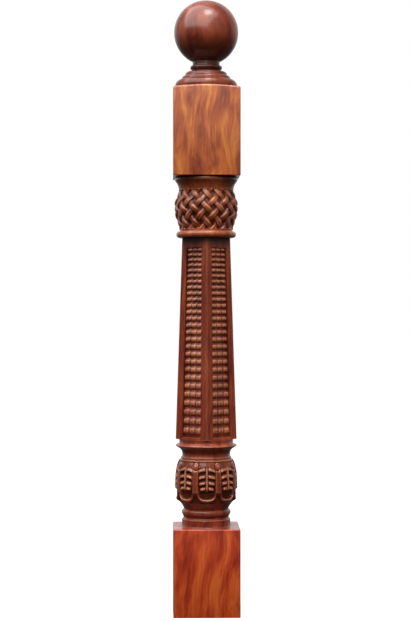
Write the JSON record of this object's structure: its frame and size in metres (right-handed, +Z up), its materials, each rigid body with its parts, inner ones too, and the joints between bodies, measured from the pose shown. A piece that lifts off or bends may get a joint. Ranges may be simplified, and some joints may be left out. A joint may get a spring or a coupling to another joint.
{
  "type": "newel post",
  "caption": "Square timber newel post with a ball finial, a basket-weave bulb, a tapered studded shaft and a leaf-carved bulb between plain blocks.",
  "frame": {"origin": "middle of the flat underside of the foot block", "axes": "+Z up along the post, -Y towards the front face of the blocks, +X to the right of the front face"},
  "size_m": [0.13, 0.13, 1.1999],
  "materials": {
    "wood": "red-brown stain under a gloss lacquer"
  },
  "bodies": {
    "root": {"newel_post": "wood"}
  },
  "joints": []
}
